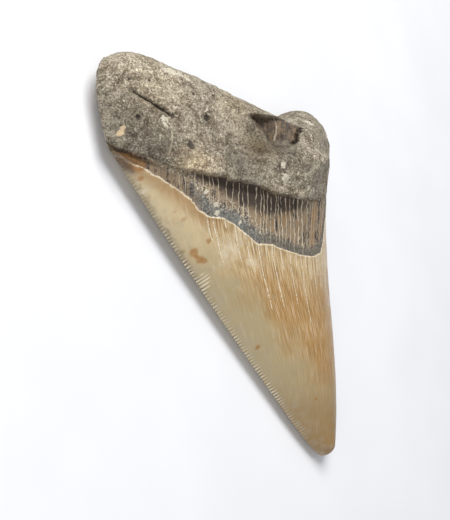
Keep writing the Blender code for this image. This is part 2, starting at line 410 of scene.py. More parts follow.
def heights(across, x, crown, root, lingual):
    """Height of the surface: a lens on the crown, a rounded slab with a boss on the root."""
    part = (across + 1) / 2
    rim = mix(RIM_OF_LEFT_LOBE, RIM_OF_RIGHT_LOBE, part)
    edge = mix(EDGE_AT_TIP, EDGE_AT_CORNER, crown) + (rim - EDGE_AT_CORNER) * rise(root, 0.0, 0.8)
    closing = np.sqrt(1 - (1 - np.clip(crown / TIP_CLOSING, 0.0, 1.0)) ** 2)
    closing *= np.sqrt(np.clip(1 - root ** 6, 0.0, 1.0))
    roundness = mix(1.0, 0.5, rise(root, 0.0, 0.45))
    fullness = mix(mix(2.0, 2.1, crown), 3.0, rise(root, 0.0, 0.4))

    ridge = mix(RIDGE_OFFSET_TIP, RIDGE_OFFSET_BASE, crown)
    from_ridge = np.abs((across - ridge) / (1 - ridge * np.sign(across - ridge)))
    lens = np.clip(1 - from_ridge ** fullness, 0.0, 1.0) ** roundness
    swell = rounded(crown, CROWN_STATIONS, CROWN_SWELL)
    swell = mix(swell, LOBE_THICKNESS + LEDGE_STEP, rise(root, 0.0, 0.4))
    swell += (BOSS_HEIGHT * hill(x, BOSS_CENTRE, BOSS_WIDTH)
              * rise(root, 0.0, 0.25) * (1 - 0.92 * rise(root, 0.42, 0.97)))
    notch = NOTCH_DEPTH * hill(x, NOTCH_CENTRE, NOTCH_WIDTH) * rise(root, 0.45, 0.9)
    top = edge + (swell * lens - notch) * closing

    lobes = hill(x, LEFT_LOBE_CENTRE, LEFT_LOBE_WIDTH) + hill(x, RIGHT_LOBE_CENTRE, RIGHT_LOBE_WIDTH)
    under_crown = rounded(crown, LABIAL_STATIONS, LABIAL_CROWN)
    under = mix(under_crown, LABIAL_ROOT - LABIAL_LOBE * lobes, rise(root, 0.0, 0.5))
    pillow = np.clip(1 - np.abs(across) ** 2.6, 0.0, 1.0) ** roundness
    bottom = edge - (edge - under) * pillow * closing
    return np.where(lingual, top, bottom)


class Sleeve:
    """What each point of the flat sleeve means on the tooth, and its place there in mm."""

    def __init__(self, flat):
        across = 1 - 2 * np.abs(1 - 2 * flat[:, 0])
        crown = np.clip(flat[:, 1] / SLEEVE_NECK, 0.0, 1.0) ** 1.25
        root = np.sin(np.clip((flat[:, 1] - SLEEVE_NECK) / (1 - SLEEVE_NECK), 0.0, 1.0) * np.pi / 2)
        self.across = across
        self.side = np.sign(0.5 - flat[:, 0]) * np.sqrt(1 - across ** 2)
        self.crown = crown
        self.root = root
        lingual = self.side >= 0
        points = plan(self.across, crown, root, lingual)
        self.place = np.column_stack([points, heights(self.across, points[:, 0], crown, root, lingual)])
        left = cutting_edge(LEFT_CORNER, -1, LEFT_EDGE_BULGE, crown)
        right = cutting_edge(RIGHT_CORNER, 1, RIGHT_EDGE_BULGE, crown)
        half_width = np.maximum((right[:, 0] - left[:, 0]) / 2, 0.5)
        self.from_edge = (1 - np.abs(across)) * half_width
        self.inboard = (1 + across) * half_width
        self.from_rim = np.minimum(self.from_edge, (1 - root) * ROOT_LENGTH + (1 - crown) * CROWN_LENGTH)
        self.lingual = lingual


def polyline(points, samples=260):
    return through(points, np.linspace(0.0, 1.0, samples))


def distance_to(points, line):
    """Shortest plan distance from each point to a densely sampled line."""
    nearest = np.full(len(points), np.inf)
    for mark in line:
        nearest = np.minimum(nearest, (points[:, 0] - mark[0]) ** 2 + (points[:, 1] - mark[1]) ** 2)
    return np.sqrt(nearest)


def signed_distance(points, curve):
    """Distance to a curve that runs left to right: positive towards the root."""
    line = polyline(curve)
    towards_root = points[:, 1] - np.interp(points[:, 0], line[:, 0], line[:, 1])
    return np.copysign(distance_to(points, line), towards_root)


def spots(points, marks, spread=1.0):
    """Sum of soft round spots (x, y, radius and, if it isn't 1, the amount)."""
    total = np.zeros(len(points))
    for x, y, radius, *amount in marks:
        away = np.hypot(points[:, 0] - x, points[:, 1] - y)
        total += sum(amount, 0.0 if amount else 1.0) * hill(away, 0.0, radius * spread)
    return total


def seen(place):
    """How far across the display view points stand, in pixels."""
    away = place - EYE
    focus = LENS / SENSOR * PICTURE_HEIGHT
    return PICTURE_MIDDLE + focus * (away @ SIGHT_RIGHT) / (away @ SIGHT_INTO)


def hollow_parts(place):
    """Distances from the hollow's left wall and right wall, and how far down it the points are."""
    away = place - HOLLOW_CENTRE
    right, down = away @ SIGHT_RIGHT, away @ SIGHT_DOWN
    walls = [(right - x) * toward_x + (down - y) * toward_y
             for x, y, toward_x, toward_y in (HOLLOW_LEFT, HOLLOW_RIGHT)]
    return walls[0], walls[1], down


def hollow_mask(place, ragged=0.0):
    """1 in the hollow under the notch, 0 outside it; ragged pushes its walls out or in."""
    left, right, down = hollow_parts(place)
    open_end = rise(place[:, 2], 6.0, 11.0) * rise(down, -4.5, -2.8)
    walls = rise(left + ragged, -0.3, 1.5) * rise(right + ragged, -0.3, 1.3)
    return walls * (1 - rise(down + ragged, 0.5, 7.5)) * open_end


def wanted_spacing(sleeve):
    """Longest side that a face may have there, in mm."""
    place = sleeve.place
    band = rise(signed_distance(place, BORDER), -2.5, -1.0)
    band *= rise(-signed_distance(place, LEDGE), -3.0, -1.5)
    marks = rise(-distance_to(place, polyline(SLIT, 60)), -2.2, -1.2)
    marks = np.maximum(marks, rise(spots(place, PITS + SHELL, 1.6), 0.2, 0.5))
    marks = np.maximum(marks, rise(hollow_mask(place), 0.0, 0.1))
    marks = np.maximum(marks, rise(-distance_to(place, polyline(ROOT_CRACK, 60)), -1.2, -0.6))
    marks = np.maximum(marks, 0.8 * rise(spots(place, RUST, 1.4), 0.2, 0.5))
    top = mix(FINE_CROWN, FINE_ROOT, rise(sleeve.root, 0.0, 0.05))
    top = mix(mix(top, FINE_MARK, marks), FINE_BAND, band)
    inner = np.where(sleeve.lingual, top, FINE_LABIAL)
    rim = mix(FINE_EDGE, FINE_ROOT, rise(sleeve.root, 0.0, 0.05))
    return mix(rim, inner, rise(sleeve.from_rim, 1.2, 2.6))


def turbulence(place, size, octaves=3, shift=0.0):
    """Layered noise of about -1 to 1, with lumps of this size in mm."""
    return np.array([
        noise.fractal(Vector(point), 0.9, 2.0, octaves) for point in (place + shift) / size
    ])


def points_of(mesh):
    flat = np.empty(len(mesh.vertices) * 3)
    mesh.vertices.foreach_get("co", flat)
    return flat.reshape(-1, 3)


def move_points(mesh, points):
    mesh.vertices.foreach_set("co", np.ascontiguousarray(points, dtype=np.float32).ravel())
    mesh.update()


def keep(mesh, name, values):
    """Store one number for each point, for the material or for a later step."""
    layer = mesh.attributes.new(name, 'FLOAT', 'POINT')
    layer.data.foreach_set("value", np.ascontiguousarray(values, dtype=np.float32))


def kept(mesh, name):
    values = np.empty(len(mesh.vertices), dtype=np.float32)
    mesh.attributes[name].data.foreach_get("value", values)
    return values.astype(float)


def split_long_edges(mesh):
    """Select and split the edges that are too long once wrapped; tell how many there were."""
    flat = points_of(mesh)
    ends = np.empty(len(mesh.edges) * 2, dtype=np.int32)
    mesh.edges.foreach_get("vertices", ends)
    ends = ends.reshape(-1, 2)
    place = Sleeve(flat).place
    real = np.linalg.norm(place[ends[:, 0]] - place[ends[:, 1]], axis=1)
    middle = Sleeve((flat[ends[:, 0]] + flat[ends[:, 1]]) / 2)
    too_long = real > wanted_spacing(middle)
    mesh.vertices.foreach_set("select", np.zeros(len(mesh.vertices), dtype=bool))
    mesh.polygons.foreach_set("select", np.zeros(len(mesh.polygons), dtype=bool))
    mesh.edges.foreach_set("select", too_long)
    bpy.ops.object.mode_set(mode='EDIT')
    bpy.ops.mesh.subdivide(number_cuts=1, ngon=False)
    bpy.ops.mesh.select_all(action='SELECT')
    bpy.ops.mesh.quads_convert_to_tris(quad_method='SHORTEST_DIAGONAL')
    bpy.ops.object.mode_set(mode='OBJECT')
    return int(too_long.sum())


def make_sleeve(passes):
    """A flat grid: left to right is once round the tooth, bottom to top is tip to base."""
    bpy.ops.object.select_all(action='DESELECT')
    bpy.ops.mesh.primitive_grid_add(x_subdivisions=SLEEVE_COLUMNS, y_subdivisions=SLEEVE_ROWS,
                                    size=1.0, calc_uvs=False)
    tooth = bpy.context.object
    tooth.name = tooth.data.name = "tooth_surface"
    bpy.ops.object.mode_set(mode='EDIT')
    bpy.ops.mesh.select_all(action='SELECT')
    bpy.ops.transform.translate(value=(0.5, 0.5, 0.0))
    bpy.ops.mesh.select_mode(type='EDGE')
    bpy.ops.object.mode_set(mode='OBJECT')
    for _ in range(passes):
        if split_long_edges(tooth.data) == 0:
            break
    return tooth


def wrap_and_weld(tooth):
    """Wrap the sleeve round the tooth and close its seam, its tip and its basal edge."""
    mesh = tooth.data
    flat = points_of(mesh)
    keep(mesh, "turn", flat[:, 0])
    keep(mesh, "rows", flat[:, 1])
    place = Sleeve(flat).place
    middle = (place.min(axis=0) + place.max(axis=0)) / 2
    middle[2] = 0.0
    move_points(mesh, (place - middle) * MM)
    bpy.ops.object.mode_set(mode='EDIT')
    bpy.ops.mesh.select_all(action='SELECT')
    bpy.ops.mesh.remove_doubles(threshold=WELD)
    bpy.ops.mesh.select_all(action='SELECT')
    bpy.ops.mesh.normals_make_consistent(inside=False)
    bpy.ops.mesh.select_all(action='DESELECT')
    bpy.ops.mesh.select_mode(type='VERT')
    bpy.ops.mesh.select_non_manifold()
    bpy.ops.object.mode_set(mode='OBJECT')
    loose = sum(corner.select for corner in mesh.vertices)
    if loose:
        raise RuntimeError(f"the tooth isn't closed: {loose} points lie on open edges")
    return middle


def cracks_at(bend, places):
    """Number of the crack that each point lies on or between, and how far apart cracks are there."""
    return (np.interp(bend, places, np.arange(len(places))),
            np.interp(bend, places, np.gradient(places)))


class Form:
    """The closed tooth before it is sculpted: its points in mm, and the zones and noise there."""

    def __init__(self, mesh, middle):
        self.sleeve = Sleeve(np.column_stack([kept(mesh, "turn"), kept(mesh, "rows")]))
        self.place = points_of(mesh) / MM + middle
        normal = np.empty(len(mesh.vertices) * 3)
        mesh.vertices.foreach_get("normal", normal)
        self.normal = normal.reshape(-1, 3)
        self.x = self.place[:, 0]
        self.view = seen(self.place)
        self.face = rise(self.sleeve.side, 0.0, 0.12)
        self.flow = (self.x - FAN_POINT[0]) / (self.place[:, 1] - FAN_POINT[1]) * FAN_REACH
        self.along = self.sleeve.crown * CROWN_LENGTH + self.sleeve.root * ROOT_LENGTH
        self.grain = turbulence(self.place, 1.25, 3, 60.0)
        self.small = turbulence(self.place, 2.2, 3)
        self.medium = turbulence(self.place, 6.5, 3, 40.0)
        self.broad = turbulence(self.place, 17.0, 2, 90.0)
        self.find_zones()

    def find_zones(self):
        """Distances to the enamel's border and to the ledge, and the enamel, the band and the root."""
        place, face = self.place, self.face
        border = mix(signed_distance(place, LABIAL_BORDER), signed_distance(place, BORDER), face)
        ledge = mix(signed_distance(place, LABIAL_LEDGE), signed_distance(place, LEDGE), face)
        self.border = border + 0.28 * self.small + 0.25 * self.medium
        ledge += 0.50 * self.small + 0.40 * self.medium + 0.20 * self.grain
        self.ledge = np.minimum(ledge, self.border - 0.2)
        self.root = rise(self.ledge, -0.05, 0.40)
        self.enamel = 1 - rise(self.border, -0.05, 0.30)
        self.band = (1 - self.root) * (1 - self.enamel)


def cracks_of(form):
    """Where the cracks of the dark band and of the enamel run."""
    place = form.place
    view = form.view + FOLD_STRETCH * np.maximum(form.flow - FOLD, 0.0)
    bend = view + 1.4 * turbulence(place, 6.0, 2, 7.0) + 0.9 * turbulence(place, 1.7, 2, 13.0)
    strip, strip_gap = cracks_at(bend, BAND_CRACKS)
    vein, vein_gap = cracks_at(form.flow + 0.35 * turbulence(place, 9.0, 2, 21.0), ENAMEL_CRACKS[:, 0])
    vein_left = ENAMEL_CRACKS[np.rint(vein).astype(int), 1] + form.border + 3.0 * form.medium
    hairline = [distance_to(place, polyline(crack, 60)) for crack in (ROOT_CRACK, NOTCH_CRACK)]
    return {
        "strip": strip, "strip_gap": strip_gap * PIXEL,
        "vein": vein, "vein_gap": vein_gap, "vein_left": vein_left,
        "hairline": np.minimum(*hairline) + 0.15 * form.small,
    }


def lift_of_zones(form, sizes, strip, deep, under):
    """Height of the ledge with its lip, of the ribs of the band and of the enamel's edge."""
    rib = np.abs(strip % 1.0 - 0.5) * 2
    flush = 1 - rise(form.x, -2.0, 9.0)
    step = LEDGE_STEP * (1 - rise(form.sleeve.root, 0.0, 0.4)) * form.face * flush
    lift = form.root * step * (1 + 0.3 * form.small)
    lift += LIP_HEIGHT * form.root * hill(form.ledge, 1.1, 0.9) * deep
    lift += RIB_HEIGHT * (rib ** 6) * under
    lift += LOW_RIB_HEIGHT * (rib ** 5 - 0.3) * form.band * form.face
    limb = 1 - 0.75 * rise(form.x, 6.0, 16.0)
    lift -= sizes.enamel_edge / MM * form.band * limb * mix(0.4, 1.0, form.face)
    return lift + ROLLED_EDGE * form.enamel * hill(form.border, -0.35, 0.45)


def lift_of_grain(form, sizes):
    """Height of the root's lumps and grain, and of the waves of the enamel and the band."""
    lumps = sizes.root_lumps / MM * (0.7 * form.broad + 0.45 * form.medium)
    grain = sizes.root_grain / MM * (0.7 * form.small + 0.6 * form.grain)
    lift = form.root * (lumps + grain - BOSS_SIDE_DIP * hill(form.x, 13.0, 7.0) * form.face)
    lift += form.enamel * (0.16 * form.broad + 0.05 * form.medium)
    return lift + form.band * (0.10 * form.small + 0.12 * form.medium)


def pitting_of(form):
    """Shares of the full depth, 0 to 1, in the slit and in the pits of the display face."""
    slit = distance_to(form.place, polyline(SLIT, 90)) + 0.22 * form.small + 0.12 * form.grain
    taper = np.interp(form.x, SLIT_PLACES, SLIT_SHARES)
    cut = form.face * taper * np.exp(-(slit / (0.30 + 0.16 * taper)) ** 2)
    pits = form.face * np.clip(spots(form.place, PITS) * (0.9 + 0.9 * form.grain), 0.0, 1.0)
    return cut, pits


def hollow_of(form):
    """The hollow, the crevice along its right wall, and how deep the two are in mm."""
    place = form.place
    hollow = hollow_mask(place, 0.55 * form.small + 0.75 * form.medium) * form.face
    wall_left, wall_right, down = hollow_parts(place)
    crevice = hill(wall_right - 1.0 + 0.8 * form.small, 0.0, 0.60) * (1 - rise(down, 3.0, 6.5)) * form.face
    crevice *= rise(place[:, 2], 8.0, 12.0) * rise(down, -4.5, -1.5)
    slope = mix(1.0, 0.55, rise(wall_left, 2.0, 12.0))
    grooved = [form.view / PIXELS_A_MM, place[:, 1] * 0.15, np.zeros(len(place))]
    groove = turbulence(np.column_stack(grooved), 1.1, 2, 33.0)
    depth = hollow * (HOLLOW_DEPTH * slope + HOLLOW_GROOVE * groove)
    return hollow, crevice, depth + CREVICE_DEPTH * crevice * rise(hollow, 0.0, 0.5)


def serrations_of(form, sizes):
    """Number of the serration at each point, and the direction out of the nearer cutting edge."""
    serration = np.zeros(len(form.place))
    outward = np.zeros((len(form.place), 3))
    for corner, turn, here in ((LEFT_CORNER, 1, form.flow < 0), (RIGHT_CORNER, -1, form.flow >= 0)):
        run = (corner - TIP) / np.linalg.norm(corner - TIP)
        counted = (form.place[:, :2] - TIP) @ run / (sizes.serration_pitch / MM)
        serration = np.where(here, counted, serration)
        outward[here, :2] = np.array((-run[1], run[0])) * turn
    return serration + 0.16 * form.medium, outward


def wear_of(form):
    """How much of the serrations is left: less near the tip and near the root, and uneven."""
    crown = form.sleeve.crown
    remains = mix(0.35, 1.0, rise(-crown, -0.90, -0.66))
    remains *= rise(crown, 0.03, 0.07) * mix(0.4, 1.0, rise(crown, 0.08, 0.30))
    remains *= 1 - rise(form.sleeve.root, 0.0, 0.02)
    return remains * np.clip(0.85 + 0.5 * form.medium + 0.5 * form.small, 0.2, 1.25)


def sculpt(tooth, middle, sizes):
    """Move the closed tooth's points into its ledge, cracks, pits, grain and serrations.

    The zones and marks are kept on the mesh for the material, and their names are given back.
    """
    mesh = tooth.data
    form = Form(mesh, middle)
    place, face, from_edge = form.place, form.face, form.sleeve.from_edge
    cracks = cracks_of(form)
    deep = np.interp(form.x, RECESS_PLACES, RECESS_DEPTHS) * face
    reach = np.interp(form.x, REACH_PLACES, RECESS_REACHES)
    under = form.band * deep * (1 - rise(-form.ledge / reach, 1.2, 4.8)) * rise(-form.ledge, 0.0, 0.5)
    cut, pits = pitting_of(form)
    hollow, crevice, depth = hollow_of(form)
    serration, outward = serrations_of(form, sizes)
    worn = wear_of(form)

    lift = lift_of_zones(form, sizes, cracks["strip"], deep, under) + lift_of_grain(form, sizes)
    lift -= sizes.slit_depth / MM * cut + PIT_DEPTH * pits
    lift += SHELL_HEIGHT * face * rise(spots(place, SHELL) + 0.15 * form.grain, 0.38, 0.55)
    wave = 0.5 + 0.5 * np.cos(serration * 2 * np.pi)
    grooves = np.exp(-(from_edge / (sizes.serration_reach / MM * 0.6)) ** 2) * worn
    lift -= GROOVE_DEPTH * (1 - wave) * grooves

    moved = place + form.normal * lift[:, None]
    lobe = hill(np.hypot(form.x - ROUNDED_LOBE[0], place[:, 1] - ROUNDED_LOBE[1]), 0.0, LOBE_RADIUS)
    moved[:, :2] += LOBE_ROUNDING * lobe[:, None] * LOBE_INWARD
    notched = (wave - 0.75) * np.exp(-(from_edge / 0.55) ** 2) * worn
    moved += outward * (sizes.serration_depth / MM * notched)[:, None]
    moved[:, 1] -= sizes.overhang / MM * form.root * (1 - rise(form.ledge, 0.2, 2.6)) * deep * face
    moved += SIGHT_INTO * (depth + sizes.recess / MM * under)[:, None]
    moved[:, 2] = np.maximum(moved[:, 2], 0.0)
    move_points(mesh, (moved - middle) * MM)

    marks = cracks | {
        "border": form.border, "ledge": form.ledge, "flow": form.flow, "along": form.along,
        "view": form.view * PIXEL, "under": under, "pit": np.maximum(cut, pits),
        "hollow": hollow, "crevice": crevice, "serration": serration, "worn": worn,
        "from_edge": from_edge, "inboard": form.sleeve.inboard,
    }
    marks |= {name: spots(place, places) * face for name, places in SPOTS.items()}
    for name, values in marks.items():
        keep(mesh, name, values)
    for name in ("turn", "rows"):
        mesh.attributes.remove(mesh.attributes[name])
    return list(marks)


class Value:
    """A shader socket that takes part in Python sums."""

    def __init__(self, paint, socket):
        self.paint = paint
        self.socket = socket

    def sum(self, operation, first, second):
        return self.paint.node('ShaderNodeMath', {'operation': operation}, {0: first, 1: second})

    def __add__(self, other):
        return self.sum('ADD', self, other)

    def __sub__(self, other):
        return self.sum('SUBTRACT', self, other)

    def __rsub__(self, other):
        return self.sum('SUBTRACT', other, self)

    def __mul__(self, other):
        return self.sum('MULTIPLY', self, other)


class Paint:
    """One material and the nodes that make it."""

    def __init__(self, name):
        self.material = bpy.data.materials.new(name)
        self.material.use_nodes = True
        self.tree = self.material.node_tree
        self.shader = self.tree.nodes["Principled BSDF"]
        self.objects = self.tree.nodes.new('ShaderNodeTexCoord').outputs["Object"]

    def feed(self, socket, value):
        if isinstance(value, Value):
            self.tree.links.new(value.socket, socket)
        else:
            socket.default_value = value

    def node(self, kind, settings, values, output=0):
        """Add a node: its settings come first, then the values or links of its sockets."""
        item = self.tree.nodes.new(kind)
        for name, setting in settings.items():
            setattr(item, name, setting)
        for key, value in values.items():
            self.feed(item.inputs[key], value)
        return Value(self, item.outputs[output])

    def spot(self):
        """Object coordinates in millimetres."""
        return self.node('ShaderNodeVectorMath', {'operation': 'SCALE'},
                         {0: Value(self, self.objects), 3: 1 / MM})

    def attribute(self, name):
        return self.node('ShaderNodeAttribute', {'attribute_name': name}, {}, 2)

    def vector(self, x, y, z=0.0):
        return self.node('ShaderNodeCombineXYZ', {}, {0: x, 1: y, 2: z})

    def noise(self, vector, scale, detail=3.0, roughness=0.6, distortion=0.0):
        return self.node('ShaderNodeTexNoise', {}, {
            "Vector": vector, "Scale": scale, "Detail": detail, "Roughness": roughness,
            "Distortion": distortion})

    def cells(self, vector, scale, output=0):
        """Voronoi cells: distance from their centre, or their random colour."""
        return self.node('ShaderNodeTexVoronoi', {}, {"Vector": vector, "Scale": scale}, output)

    def step(self, value, start, end, low=0.0, high=1.0):
        """Go smoothly from low to high as value goes from start to end."""
        return self.node('ShaderNodeMapRange', {'interpolation_type': 'SMOOTHSTEP'}, {
            "Value": value, "From Min": start, "From Max": end, "To Min": low, "To Max": high})

    def blend(self, below, above, part, kind='MIX'):
        return self.node('ShaderNodeMix', {'data_type': 'RGBA', 'blend_type': kind},
                         {0: part, 6: below, 7: above}, 2)

    def layered(self, tone, layers):
        """Lay colours over a tone one after another; a layer is its colour and its part."""
        for colour, part in layers:
            tone = self.blend(tone, colour, part)
        return tone

    def line(self, phase, spacing, width):
        """1 on the whole numbers of a phase, as lines of this width; spacing tells the mm between them."""
        away = self.node('ShaderNodeMath', {'operation': 'PINGPONG'}, {0: phase, 1: 0.5})
        return self.step(away * spacing, width / 2, width / 5)


def flecks(paint, spot, scale, share, size):
    """Small round flecks: a share of the cells holds one."""
    away = paint.cells(spot, scale)
    chosen = paint.step(paint.cells(spot, scale, 1), 1 - share, 1 - share + 0.02)
    return paint.step(away, size, size * 0.6) * chosen


def root_colour(paint, spot, colours, marks):
    large = paint.noise(spot, 0.055, 2.0)
    patch = paint.noise(spot, 0.21, 3.0, 0.6, 0.6)
    brown = paint.noise(spot, 0.13, 3.0, 0.6, 1.0)
    clump = paint.noise(spot, 0.42, 3.0, 0.7)
    grit = paint.noise(spot, 1.1, 3.0, 0.7) * 0.75 + clump * 0.25
    sand = paint.noise(spot, 2.1, 2.0, 0.7)
    streaks = paint.noise(paint.vector(marks["view"], marks["along"] * 0.15), 1.2, 3.0, 0.7)
    # Colour in the hollow under the notch: partly a dark brown stain, partly painted shade of the hollow.
    inside = paint.blend(colours.band_dark_and_shade, colours.root_brown,
                         paint.step(streaks * 0.55 + clump * 0.45, 0.42, 0.60))
    tone = paint.layered(colours.root_dark, (
        (colours.root_middle, paint.step(patch, 0.30, 0.50)),
        (colours.root_light, paint.step(large * 0.6 + patch * 0.4, 0.44, 0.62)),
        (colours.root_brown, paint.step(brown, 0.54, 0.70) * 0.75),
        (colours.root_dark, paint.step(clump, 0.49, 0.40) * 0.55),
        (colours.root_light, paint.step(clump, 0.53, 0.62) * 0.5),
        (colours.grit_dark_and_shade, paint.step(grit, 0.47, 0.37) * 0.7),
        (colours.grit_pale, paint.step(grit, 0.54, 0.63) * 0.6),
        (colours.root_brown, paint.step(sand, 0.50, 0.40) * 0.5),
        (colours.grit_dark_and_shade, paint.step(sand, 0.44, 0.35) * 0.5),
        (colours.grit_pale, paint.step(sand, 0.56, 0.64) * 0.55),
        (colours.grit_pale, flecks(paint, spot, 0.75, 0.16, 0.26)),
        # Painted shade in the slit and the pits.
        (colours.grit_dark_and_shade, paint.step(marks["pit"], 0.15, 0.6) * 0.85),
        # The hollow's stain and painted shade.
        (inside, paint.step(marks["hollow"] + (grit - 0.5) * 0.5, 0.05, 0.9) * 0.85),
        # Painted shadow in the crevice along the hollow's right wall.
        (colours.grit_dark_and_shade, paint.step(marks["crevice"] + (sand - 0.5) * 0.8, 0.30, 0.95) * 0.7),
        (colours.crack_pale, paint.step(marks["hairline"] + (sand - 0.5) * 0.5, 0.30, 0.12) * 0.65),
    ))
    # Lighter and darker spots multiply the root's colour; the darker ones, low on the root and by the
    # hollow, are painted shade.
    level = marks["shade"] * 0.30 + 1.0
    warm = marks["warmth"]
    tint = paint.vector(level + warm * 0.08, level, level - warm * 0.16)
    tone = paint.blend(tone, tint, 1.0, 'MULTIPLY')
    powder = paint.step(marks["deposit"] + (grit - 0.5) * 3.2, 0.50, 0.8)
    chip = paint.step(marks["shell"] + (sand - 0.5) * 0.3, 0.40, 0.50)
    return paint.layered(tone, (
        (colours.grit_pale, powder * paint.step(sand, 0.36, 0.52, 0.45, 0.95)),
        (colours.shell, chip * paint.step(clump, 0.38, 0.58, 0.70, 0.95)),
    ))


def band_colour(paint, spot, colours, border, marks):
    flow, along, view = marks["flow"], marks["along"], marks["view"]
    streaks = paint.noise(paint.vector(view, along * 0.09), 0.85, 3.0, 0.65)
    mottle = paint.noise(spot, 0.8, 3.0, 0.7)
    speck = paint.noise(spot, 1.9, 3.0, 0.8)
    low = paint.step(border + (mottle - 0.5) * 4.0, 3.2, 2.0) * paint.step(flow, -46.0, -41.0)
    grey = paint.layered(colours.band_grey, (
        (colours.band_dark_and_shade, paint.step(mottle, 0.50, 0.36) * 0.7),
        (colours.root_dark, paint.step(flow, -33.0, -24.0) * 0.6),
        (colours.band_dark_and_shade, paint.step(speck, 0.50, 0.38) * 0.5),
        (colours.grit_pale, paint.step(speck, 0.58, 0.68) * 0.35),
    ))
    early = paint.step(view, 50.8, 51.6) * paint.step(view, 57.0, 55.0)
    present = paint.noise(paint.vector(view * 0.5, along * 0.22, 4.0), 1.0, 4.0) + early * 0.2
    present = paint.step(present + paint.step(flow, -16.0, -9.0) * 0.08, 0.36, 0.50)
    cracks = paint.line(marks["strip"], marks["strip_gap"], 0.36) * present
    cracks = cracks * paint.step(marks["ledge"], -0.2, -0.7)
    powder = paint.step(speck, 0.53, 0.61) * paint.step(border, 1.0, 2.6) * paint.step(border, 5.0, 3.4)
    rusty = paint.step(streaks + (mottle - 0.5) * 0.6, 0.54, 0.66) * paint.step(flow, -34.0, -26.0)
    tone = paint.layered(colours.band_dark_and_shade, (
        (colours.band_brown, paint.step(streaks + (mottle - 0.5) * 0.5, 0.34, 0.50)),
        (colours.band_tan, paint.step(streaks, 0.52, 0.68) * 0.75),
        (colours.rust, rusty * 0.45),
        (grey, low * 0.92),
        # Painted shade in the recess under the root's lip.
        (colours.band_dark_and_shade, paint.step(marks["under"] + (streaks - 0.5) * 0.3, 0.04, 0.60) * 0.88),
        (colours.grit_dark_and_shade, paint.step(speck, 0.46, 0.36) * 0.35),
        (colours.crack_pale, cracks * paint.step(border + early * 1.6, 1.6, 3.2, 0.25, 0.9)),
        (colours.grit_pale, powder * paint.step(flow, -20.0, -30.0, 0.25, 0.9)),
        (colours.grit_pale, paint.step(marks["deposit"] + (speck - 0.5) * 1.2, 0.42, 0.62) * 0.85),
        (colours.rust, paint.step(marks["rust"] + (mottle - 0.5) * 2.0, 0.20, 1.0) * 0.6),
    ))
    return tone, cracks


def enamel_colour(paint, spot, colours, border, marks):
    flow, along, from_edge = marks["flow"], marks["along"], marks["from_edge"]
    fine = paint.noise(paint.vector(flow, along * 0.05), 1.3, 3.0, 0.65)
    hair = paint.noise(paint.vector(flow, along * 0.05), 2.7, 2.0, 0.6)
    cloud = paint.noise(spot, 0.11, 3.0, 0.6)
    mottle = paint.noise(spot, 0.5, 3.0, 0.6)
    ragged = paint.noise(spot, 1.3, 3.0, 0.7)
    middle = paint.step(marks["inboard"] + (cloud - 0.5) * 16.0, 8.0, 20.0) * paint.step(along, 12.0, 30.0)
    haze = paint.step(paint.noise(spot, 0.16, 2.0), 0.52, 0.68) * paint.step(border, -24.0, -8.0)
    rim = paint.step(from_edge + (cloud - 0.5) * 8.0, 9.0, 1.0)
    grey = paint.step(from_edge + (mottle - 0.5) * 5.0, 2.8, 0.6) * paint.step(along, 40.0, 70.0)
    stain = paint.step(marks["rust"] + (ragged - 0.5) * 0.9, 0.22, 0.80)
    corner = paint.step(flow + (mottle - 0.5) * 1.6, -51.4, -52.4) * paint.step(along, 85.0, 88.0)
    # Paler places of the enamel, from the pale spots.
    worn = paint.step(marks["pale"] + (mottle - 0.5) * 2.2 + (hair - 0.5) * 1.6, 0.35, 1.1)
    cracks = paint.line(marks["vein"], marks["vein_gap"], 0.42) * paint.step(marks["vein_left"], 0.0, 1.5)
    beads = paint.noise(paint.vector(flow * 0.4, along * 0.9), 1.0, 3.0, 0.7)

    notch = paint.line(marks["serration"] + 0.5, SERRATION_PITCH, 0.55)
    teeth = paint.noise(paint.vector(marks["serration"], marks["serration"] * 0.3), 0.9, 2.0)
    uneven = paint.step(teeth * 0.7 + mottle * 0.3, 0.38, 0.58, 0.30, 1.0)
    near_edge = paint.step(from_edge + (ragged - 0.5) * 1.6, 2.0, 0.5) * marks["worn"] * uneven
    stroke = paint.line(marks["serration"] + (teeth - 0.5) * 0.9, SERRATION_PITCH, 0.42)
    scratched = paint.step(marks["scratch"] + (ragged - 0.5) * 1.2 + (teeth - 0.5), 0.30, 0.75)
    tone = paint.layered(colours.enamel_beige, (
        (colours.enamel_tan, middle),
        (colours.enamel_cream, paint.step(border + (cloud - 0.5) * 12.0, -15.0, -1.0) * 0.8),
        (colours.enamel_tip, paint.step(along + (cloud - 0.5) * 16.0, 34.0, 2.0) * 0.9),
        (colours.rust, paint.step(fine, 0.46, 0.68) * middle * 0.42),
        (colours.enamel_tip, paint.step(hair, 0.49, 0.60) * middle * 0.75),
        (colours.enamel_edge, paint.step(hair, 0.47, 0.36) * (middle * 0.26 + 0.07)),
        (colours.enamel_edge, paint.step(fine, 0.44, 0.28) * 0.16),
        (colours.root_middle, paint.step(mottle, 0.52, 0.72) * 0.22),
        (colours.rust, haze * paint.step(fine, 0.40, 0.62, 0.08, 0.30)),
        (colours.rust, paint.step(border, -3.4, -0.8) * paint.step(flow, -34.0, -44.0) * 0.5),
        (colours.root_light, rim * paint.step(mottle, 0.35, 0.6, 0.05, 0.35)),
        (colours.root_dark, grey * 0.6),
        (colours.rust, stain * paint.step(ragged, 0.40, 0.60, 0.85, 0.60)),
        (colours.band_dark_and_shade, corner * 0.7),
        (colours.enamel_edge, worn * 0.40),
        (colours.enamel_edge, cracks * paint.step(beads, 0.38, 0.56, 0.15, 1.0)),
        (colours.enamel_edge, near_edge * (1.0 - notch) * 0.5),
        # Painted shade in the notches between the serrations.
        (colours.root_dark, notch * near_edge * 0.7),
        (colours.enamel_edge, scratched * stroke * 0.75),
        # Painted highlight: a bright line along the enamel's border, where its broken edge catches the
        # light.
        (colours.enamel_edge, paint.step(border, -0.30, -0.14) * paint.step(flow, -52.2, -51.0, 0.15, 0.7)),
    ))
    return tone, cracks


